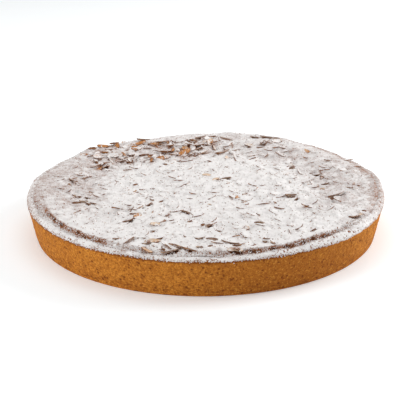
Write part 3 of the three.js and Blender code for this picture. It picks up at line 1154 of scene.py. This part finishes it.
def scatter_clumps(name, places, sizes, seed):
    draw = np.random.default_rng(seed)
    turns = draw.uniform(0, 2 * math.pi, len(places))
    cos, sin = np.cos(turns)[:, None], np.sin(turns)[:, None]
    x = CLUMP[:, 0] * cos - CLUMP[:, 1] * sin
    y = CLUMP[:, 0] * sin + CLUMP[:, 1] * cos
    z = np.repeat(CLUMP[None, :, 2], len(places), axis=0)
    points = np.stack([x, y, z], axis=2) * sizes[:, None, None] + places[:, None, :]
    starts = np.arange(len(places))[:, None, None] * len(CLUMP)
    faces = (CLUMP_FACES[None] + starts).reshape(-1, 3)
    mesh = bpy.data.meshes.new(name)
    mesh.from_pydata((points.reshape(-1, 3) * MM).tolist(), [], faces.tolist())
    piece = bpy.data.objects.new(name, mesh)
    bpy.context.scene.collection.objects.link(piece)
    return piece


# %% Strew sugar clumps over the lip and the top
LIP_CLUMPS = 2700
GROOVE_CLUMPS = 1300
TOP_CLUMPS = 3900
HEM_CLUMPS = 1200
SEAM_CLUMPS = 500


def on_section(angle, round_lip, rounding):
    """Points at an angle round the tart, in radians, and one round the lip, in degrees."""
    radius = LIP_CENTRE + rounding * np.cos(np.radians(round_lip))
    height = WALL_TOP + rounding * np.sin(np.radians(round_lip))
    return press_lip(np.stack([radius * np.cos(angle), radius * np.sin(angle), height], axis=1))


def lip_places(count, draw, low, high):
    """Places on the lip's surface, between two angles round its section."""
    angle = draw.uniform(0, 2 * math.pi, count)
    return on_section(angle, draw.uniform(low, high, count), LIP_ROUNDING)


def hem_places(count, draw, above, spread):
    """Places along the hem, where the sugar of the lip ends in crumbs."""
    angle = draw.uniform(0, 2 * math.pi, count)
    level = hem(np.cos(angle) * LIP_CENTRE, np.sin(angle) * LIP_CENTRE)
    round_lip = level + above + draw.normal(0, spread, count)
    return on_section(angle, round_lip, LIP_ROUNDING + 0.1)


def groove_places(count, draw, first=-168, last=-28, inside=130.5):
    """Places on top of the sugar behind the lip, between two angles round the tart."""
    angle = np.radians(draw.uniform(first, last, count))
    radius = draw.uniform(inside, SUGAR_RADIUS, count)
    x, y = radius * np.cos(angle), radius * np.sin(angle)
    heights = [sugar_height(*place) for place in zip(x, y)]
    return np.stack([x, y, heights], axis=1)


def top_places(count, draw):
    """Places on the sugar that covers the filling."""
    sheet = points_of(sugar)
    sheet = sheet[sheet[:, 2] > WALL_TOP - 1]
    return sheet[draw.integers(0, len(sheet), count)]


def strew_sugar(seed):
    draw = np.random.default_rng(seed)
    on_lip = lip_places(LIP_CLUMPS, draw, -6, 165)
    on_top = top_places(TOP_CLUMPS, draw)
    on_hem = hem_places(HEM_CLUMPS, draw, 0, 9)
    in_the_groove = groove_places(GROOVE_CLUMPS, draw)
    at_the_seam = groove_places(SEAM_CLUMPS, draw, -128, -76, 134.3)
    places = np.concatenate([on_lip, on_hem, in_the_groove, at_the_seam, on_top])
    places[:, 2] += draw.uniform(0.0, 0.35, len(places))
    sizes = draw.uniform(0.5, 1.3, len(places))
    piece = scatter_clumps("sugar_clumps", places, sizes, seed)
    write_layer(piece, "thinness_and_shade", np.repeat(0.9 * draw.beta(1, 2, len(places)), len(CLUMP)))
    return piece


clumps = strew_sugar(seed=31)
print("clumps:", count_triangles(clumps), "triangles")

# %% Strew toasted crumbs into the groove, over the lip and over the top
GROOVE_CRUMBS = 900
LIP_CRUMBS = 1500
TOP_CRUMBS = 800
HEM_CRUMBS = 1300


def strew_crumbs(seed):
    draw = np.random.default_rng(seed)
    in_the_groove = groove_places(GROOVE_CRUMBS, draw)
    on_lip = lip_places(LIP_CRUMBS, draw, -10, 120)
    on_top = top_places(TOP_CRUMBS, draw)
    on_hem = hem_places(HEM_CRUMBS, draw, 14, 14)
    places = np.concatenate([in_the_groove, on_lip, on_hem, on_top])
    places[:, 2] += 0.1
    sizes = draw.uniform(0.35, 1, len(places))
    piece = scatter_clumps("toasted_crumbs", places, sizes, seed)
    write_layer(piece, "toast", np.ones(len(piece.data.vertices)))
    return piece


crumbs = strew_crumbs(seed=32)
print("crumbs:", count_triangles(crumbs), "triangles")

# %% [markdown]
# ## Finishes
# Each finish is built from nodes. A few short helpers add a node, a noise or a blend,
# so that a material reads as a recipe: what colour, broken up how finely, and where the
# sugar lies.

# %% Helpers that build a material
def new_finish(name):
    finish = bpy.data.materials.new(name)
    finish.use_nodes = True
    nodes = finish.node_tree.nodes
    nodes.clear()
    output = nodes.new("ShaderNodeOutputMaterial")
    shader = nodes.new("ShaderNodeBsdfPrincipled")
    finish.node_tree.links.new(shader.outputs["BSDF"], output.inputs["Surface"])
    return finish, shader


def noise(finish, lump, detail=2, roughness=0.5, stretch=(1, 1, 1)):
    """Soft noise on the piece's own coordinates, with lumps of a size in millimetres."""
    nodes, links = finish.node_tree.nodes, finish.node_tree.links
    place = nodes.new("ShaderNodeTexCoord")
    scale = nodes.new("ShaderNodeMapping")
    scale.inputs["Scale"].default_value = stretch
    texture = nodes.new("ShaderNodeTexNoise")
    texture.inputs["Scale"].default_value = 1 / (lump * MM)
    texture.inputs["Detail"].default_value = detail
    texture.inputs["Roughness"].default_value = roughness
    links.new(place.outputs["Object"], scale.inputs["Vector"])
    links.new(scale.outputs["Vector"], texture.inputs["Vector"])
    return texture.outputs["Fac"]


def spots(finish, spacing):
    """Distance from the nearest of many scattered centres, in spacings."""
    nodes, links = finish.node_tree.nodes, finish.node_tree.links
    place = nodes.new("ShaderNodeTexCoord")
    texture = nodes.new("ShaderNodeTexVoronoi")
    texture.inputs["Scale"].default_value = 1 / (spacing * MM)
    links.new(place.outputs["Object"], texture.inputs["Vector"])
    return texture.outputs["Distance"]


def between(finish, value, low, high, bottom=0, top=1):
    """Turns a value into a share: bottom at low, top at high, and smooth between."""
    nodes, links = finish.node_tree.nodes, finish.node_tree.links
    span = nodes.new("ShaderNodeMapRange")
    span.interpolation_type = "SMOOTHSTEP"
    span.inputs["From Min"].default_value = low
    span.inputs["From Max"].default_value = high
    span.inputs["To Min"].default_value = bottom
    span.inputs["To Max"].default_value = top
    links.new(value, span.inputs["Value"])
    return span.outputs["Result"]


def combine(finish, operation, first, second):
    """Two values added, multiplied and so on; each can be a plain number."""
    nodes, links = finish.node_tree.nodes, finish.node_tree.links
    math_node = nodes.new("ShaderNodeMath")
    math_node.operation = operation
    for socket, value in zip(math_node.inputs, (first, second)):
        if isinstance(value, (int, float)):
            socket.default_value = value
        else:
            links.new(value, socket)
    return math_node.outputs["Value"]


def blend(finish, share, first, second):
    """First colour where the share is 0, second where it is 1."""
    nodes, links = finish.node_tree.nodes, finish.node_tree.links
    mix = nodes.new("ShaderNodeMix")
    mix.data_type = "RGBA"
    links.new(share, mix.inputs[0])
    for socket, colour in ((mix.inputs[6], first), (mix.inputs[7], second)):
        if isinstance(colour, tuple):
            socket.default_value = (*colour, 1)
        else:
            links.new(colour, socket)
    return mix.outputs[2]


def height_of(finish):
    """Height above the base, in millimetres."""
    nodes, links = finish.node_tree.nodes, finish.node_tree.links
    place = nodes.new("ShaderNodeTexCoord")
    split = nodes.new("ShaderNodeSeparateXYZ")
    links.new(place.outputs["Object"], split.inputs["Vector"])
    return combine(finish, "MULTIPLY", split.outputs["Z"], 1 / MM)


def facing_up(finish):
    """1 where the surface faces straight up, 0 on a wall, below 0 underneath."""
    nodes, links = finish.node_tree.nodes, finish.node_tree.links
    surface = nodes.new("ShaderNodeNewGeometry")
    split = nodes.new("ShaderNodeSeparateXYZ")
    links.new(surface.outputs["Normal"], split.inputs["Vector"])
    return split.outputs["Z"]


def attribute(finish, name):
    node = finish.node_tree.nodes.new("ShaderNodeAttribute")
    node.attribute_name = name
    return node.outputs["Fac"]


def emboss(finish, shader, height, depth):
    """A low relief in the finish, its depth in millimetres."""
    nodes, links = finish.node_tree.nodes, finish.node_tree.links
    bump = nodes.new("ShaderNodeBump")
    bump.inputs["Strength"].default_value = 1
    bump.inputs["Distance"].default_value = depth * MM
    links.new(height, bump.inputs["Height"])
    links.new(bump.outputs["Normal"], shader.inputs["Normal"])


def complete(finish, shader, colour, roughness, specular, relief, depth):
    """Joins colour and relief to the shader, and says how dull the surface is."""
    finish.node_tree.links.new(colour, shader.inputs["Base Color"])
    shader.inputs["Roughness"].default_value = roughness
    shader.inputs["Specular IOR Level"].default_value = specular
    emboss(finish, shader, relief, depth)
    return finish


# %% [markdown]
# Sugar is never flat white: the light sinks into it a little, and where it lies thin the
# brown shows through in grey-brown specks. The same grey is painted on the outer ring as
# shade, and a near-black brown is painted as the shadow in gaps and along the groove.

# %% Icing sugar
SUGAR_WHITE = (0.83, 0.805, 0.792)
# A grey for thin sugar, which also paints shade on the outer ring.
SUGAR_VEIL_AND_SHADE = (0.52, 0.455, 0.44)
SUGAR_THIN = (0.36, 0.21, 0.145)
BARE_BROWN = (0.28, 0.11, 0.048)
# Painted shadow: a near-black brown in the hollow under a raised flake and along the groove.
PAINTED_SHADOW_BROWN = (0.08, 0.028, 0.012)


def sugar_colour(finish, thinness_and_shade):
    """White; greyer where it is thin and on the outer ring, where the grey is partly painted shade;
    with brown specks, brown where it is gone, and a painted shadow past 0.9.
    """
    grains = noise(finish, 1.2, detail=3, roughness=0.65)
    lumps = noise(finish, 4.5, detail=3)
    veil_and_shade = combine(finish, "ADD", thinness_and_shade, lumps)
    veil_and_shade = between(finish, veil_and_shade, 0.5, 1.25, 0, 0.9)
    colour = blend(finish, veil_and_shade, SUGAR_WHITE, SUGAR_VEIL_AND_SHADE)
    patchy = combine(finish, "ADD", grains, combine(finish, "MULTIPLY", lumps, 0.3))
    patchy = combine(finish, "ADD", patchy, combine(finish, "MULTIPLY", thinness_and_shade, 0.38))
    specks = between(finish, patchy, 0.80, 1.0, 0, 0.85)
    colour = blend(finish, specks, colour, SUGAR_THIN)
    stippled = combine(finish, "ADD", thinness_and_shade, combine(finish, "MULTIPLY", grains, 2.4))
    bare = between(finish, stippled, 1.95, 2.2)
    colour = blend(finish, bare, colour, BARE_BROWN)
    # Past 0.9 the colour turns to a painted shadow: in the gap under a raised flake and along the
    # groove's middle.
    return blend(finish, between(finish, thinness_and_shade, 0.9, 1.25), colour, PAINTED_SHADOW_BROWN)


def make_icing_sugar():
    finish, shader = new_finish("icing_sugar")
    colour = sugar_colour(finish, attribute(finish, "thinness_and_shade"))
    relief = noise(finish, 1.1, detail=4, roughness=0.7)
    return complete(finish, shader, colour, 0.95, 0.2, relief, 0.65)


icing_sugar = make_icing_sugar()

# %% [markdown]
# The crust is golden brown and sandy. It is browner in slow patches, darker at the front
# right and paler at the right. On that lie a grain of one to two millimetres, scattered
# dark red-brown specks of caramelised butter and sugar, a band under the lip that is
# darker, partly caramelised and partly painted shade, and fine cracks near the foot.

# %% Shortcrust
CRUST_PALE = (0.74, 0.335, 0.056)
CRUST_GOLD = (0.54, 0.198, 0.025)
CRUST_BROWN = (0.36, 0.115, 0.014)
CRUST_DARK = (0.15, 0.035, 0.006)


def make_shortcrust():
    finish, shader = new_finish("shortcrust")
    wall_tone = between(finish, attribute(finish, "wall_tone"), 0, 1)
    colour = blend(finish, wall_tone, CRUST_GOLD, CRUST_BROWN)
    grain = noise(finish, 2.0, detail=4, roughness=0.75)
    mottle = noise(finish, 6, detail=3, roughness=0.7)
    colour = blend(finish, between(finish, mottle, 0.47, 0.64, 0, 0.6), colour, CRUST_BROWN)
    colour = blend(finish, between(finish, grain, 0.48, 0.60, 0, 0.9), colour, CRUST_BROWN)
    colour = blend(finish, between(finish, grain, 0.36, 0.47, 0.5, 0), colour, CRUST_PALE)
    sand = noise(finish, 1.1, detail=2, roughness=0.7)
    colour = blend(finish, between(finish, sand, 0.30, 0.45, 0.35, 0), colour, CRUST_PALE)
    colour = blend(finish, between(finish, sand, 0.54, 0.66, 0, 0.75), colour, CRUST_DARK)
    speck = between(finish, spots(finish, 3.6), 0.16, 0.36, 0.85, 0)
    some = between(finish, noise(finish, 5), 0.42, 0.54)
    colour = blend(finish, combine(finish, "MULTIPLY", speck, some), colour, CRUST_DARK)
    height = height_of(finish)
    # The band under the lip is darker: partly caramelised crust, partly painted shade under the
    # sugared lip.
    toast_and_shade_under_lip = between(finish, height, WALL_TOP - 2.2, WALL_TOP - 0.3, 0, 0.75)
    colour = blend(finish, toast_and_shade_under_lip, colour, CRUST_DARK)
    flat_cracks = noise(finish, 1.6, detail=3, stretch=(0.3, 0.3, 1.6))
    crack = between(finish, flat_cracks, 0.54, 0.62, 0, 0.7)
    near_foot = between(finish, height, 3, 11, 1, 0)
    colour = blend(finish, combine(finish, "MULTIPLY", crack, near_foot), colour, CRUST_DARK)
    relief = noise(finish, 1.2, detail=4, roughness=0.7)
    return complete(finish, shader, colour, 0.85, 0.12, relief, 0.6)


shortcrust = make_shortcrust()

# %% [markdown]
# The filling bakes darker and redder than the crust, and sugar clings to whatever part
# of it looks up.

# %% Baked filling
FILLING_BROWN = (0.30, 0.135, 0.062)
FILLING_DARK = (0.12, 0.046, 0.020)


def make_baked_filling():
    finish, shader = new_finish("baked_filling")
    patches = between(finish, noise(finish, 2.2, detail=3), 0.35, 0.65)
    colour = blend(finish, patches, FILLING_BROWN, FILLING_DARK)
    upward = between(finish, facing_up(finish), 0.55, 0.9)
    caught = between(finish, noise(finish, 1.1, detail=3), 0.45, 0.55)
    colour = blend(finish, combine(finish, "MULTIPLY", upward, caught), colour, SUGAR_WHITE)
    relief = noise(finish, 0.9, detail=3)
    return complete(finish, shader, colour, 0.85, 0.15, relief, 0.3)


baked_filling = make_baked_filling()

# %% [markdown]
# A flake is cream inside and toasts through gold to orange-brown; the line of skin round
# it is darkest. Its upper face is dusted, its edge and underside only in spots.

# %% Toasted almond
ALMOND_CREAM = (0.74, 0.55, 0.39)
ALMOND_GOLD = (0.49, 0.21, 0.064)
ALMOND_TOAST = (0.27, 0.092, 0.024)
ALMOND_SKIN = (0.12, 0.040, 0.013)


def make_toasted_almond():
    finish, shader = new_finish("toasted_almond")
    toast = combine(finish, "ADD", attribute(finish, "toast"), noise(finish, 3, detail=2))
    colour = blend(finish, between(finish, toast, 0.55, 1.0), ALMOND_CREAM, ALMOND_GOLD)
    colour = blend(finish, between(finish, toast, 1.05, 1.6), colour, ALMOND_TOAST)
    skin = between(finish, attribute(finish, "skin"), 0.5, 1, 0, 0.9)
    whole = between(finish, noise(finish, 2.6, detail=2), 0.36, 0.46, 0.4, 1)
    colour = blend(finish, combine(finish, "MULTIPLY", skin, whole), colour, ALMOND_SKIN)
    upward = between(finish, facing_up(finish), 0.45, 0.7)
    patchy = combine(finish, "ADD", attribute(finish, "dusted"), noise(finish, 1.3, detail=3))
    caught = between(finish, patchy, 0.95, 1.12)
    dust = combine(finish, "MULTIPLY", upward, caught)
    clinging = between(finish, noise(finish, 1.4, detail=3), 0.58, 0.66, 0, 0.7)
    dust = combine(finish, "MAXIMUM", dust, clinging)
    colour = blend(finish, dust, colour, sugar_colour(finish, attribute(finish, "thinness_and_shade")))
    relief = noise(finish, 0.8, detail=2)
    return complete(finish, shader, colour, 0.75, 0.2, relief, 0.15)


toasted_almond = make_toasted_almond()

# %% [markdown]
# Each piece now gets its finish and its shading and is hung on the one body, because
# nothing on a tart moves. The measured solids of the shell and the filling are hidden.

# %% Dress the pieces
def dress(piece, finish, flat=False):
    piece.data.materials.clear()
    piece.data.materials.append(finish)
    pick(piece)
    if flat:
        bpy.ops.object.shade_flat()
    else:
        bpy.ops.object.shade_smooth()
    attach(piece, "root")


dress(shell, shortcrust)
dress(sugar_ring, icing_sugar)
dress(filling, baked_filling)
dress(bed, toasted_almond, flat=True)
dress(sugar, icing_sugar)
dress(top_flakes, toasted_almond, flat=True)
dress(standing_flakes, toasted_almond, flat=True)
dress(clumps, icing_sugar)
dress(crumbs, toasted_almond)
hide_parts("pastry_shell")
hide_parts("almond_filling")

# %% [markdown]
# ## Floor, light and camera
# The tart is shown on a white sweep in soft light that comes from all sides and most
# from left and right, so that the wall is brightest at its two ends and the shadow is
# only a thin soft line at the foot.

# %% Floor and light
FLOOR_WHITE = (0.89, 0.915, 0.925)
FLOOR_GLOW = 0.18
WORLD_LIGHT = 0.36
# Name, place, width and height in metres, and power in watts.
SOFTBOXES = [
    ("left_softbox", (-1.27, -0.45, 0.6), 1.0, 0.9, 11.9),
    ("right_softbox", (1.25, 0.48, 0.6), 1.0, 0.8, 19.6),
    ("top_softbox", (0, 0.35, 1.5), 1.4, 1.2, 7),
    ("front_softbox", (0.1, -1.3, 0.45), 1.0, 0.6, 1.6),
]


def make_floor():
    bpy.ops.object.select_all(action="DESELECT")
    bpy.ops.mesh.primitive_plane_add(size=12, location=(0, 0, 0))
    floor = new_piece("studio_floor")
    finish, shader = new_finish("white_floor")
    shader.inputs["Base Color"].default_value = (*FLOOR_WHITE, 1)
    shader.inputs["Emission Color"].default_value = (1, 1, 1, 1)
    shader.inputs["Emission Strength"].default_value = FLOOR_GLOW
    shader.inputs["Roughness"].default_value = 1
    shader.inputs["Specular IOR Level"].default_value = 0
    floor.data.materials.append(finish)


def add_softbox(name, place, width, height, power):
    """An area light that looks at the tart."""
    light = bpy.data.lights.new(name, "AREA")
    light.shape = "RECTANGLE"
    light.size = width
    light.size_y = height
    light.energy = power
    lamp = bpy.data.objects.new(name, light)
    bpy.context.scene.collection.objects.link(lamp)
    lamp.location = place
    aim = -lamp.location
    lamp.rotation_euler = aim.to_track_quat("-Z", "Y").to_euler()


make_floor()
world = bpy.data.worlds.new("white_studio")
bpy.context.scene.world = world
world.use_nodes = True
world.node_tree.nodes["Background"].inputs["Color"].default_value = (1, 1, 1, 1)
world.node_tree.nodes["Background"].inputs["Strength"].default_value = WORLD_LIGHT
for softbox in SOFTBOXES:
    add_softbox(*softbox)
bpy.context.scene.view_settings.view_transform = "Standard"

# %% Camera
CAMERA_DISTANCE = 0.900
CAMERA_ELEVATION = 21.79
CAMERA_ROLL = -0.45
LENS_MM = 96.0
SENSOR_MM = 36
SHIFT_ACROSS = 0.010
SHIFT_UP = 0.0356


def add_camera():
    camera = bpy.data.objects.new("camera", bpy.data.cameras.new("camera"))
    bpy.context.scene.collection.objects.link(camera)
    elevation = math.radians(CAMERA_ELEVATION)
    camera.location = (
        0,
        -CAMERA_DISTANCE * math.cos(elevation),
        CAMERA_DISTANCE * math.sin(elevation),
    )
    camera.rotation_mode = "QUATERNION"
    level = (-camera.location).to_track_quat("-Z", "Y")
    turn = math.radians(CAMERA_ROLL)
    camera.rotation_quaternion = level @ type(level)((0, 0, 1), turn)
    camera.data.lens = LENS_MM
    camera.data.sensor_width = SENSOR_MM
    camera.data.shift_x = SHIFT_ACROSS
    camera.data.shift_y = SHIFT_UP
    camera.data.clip_start = 0.01
    bpy.context.scene.camera = camera


add_camera()
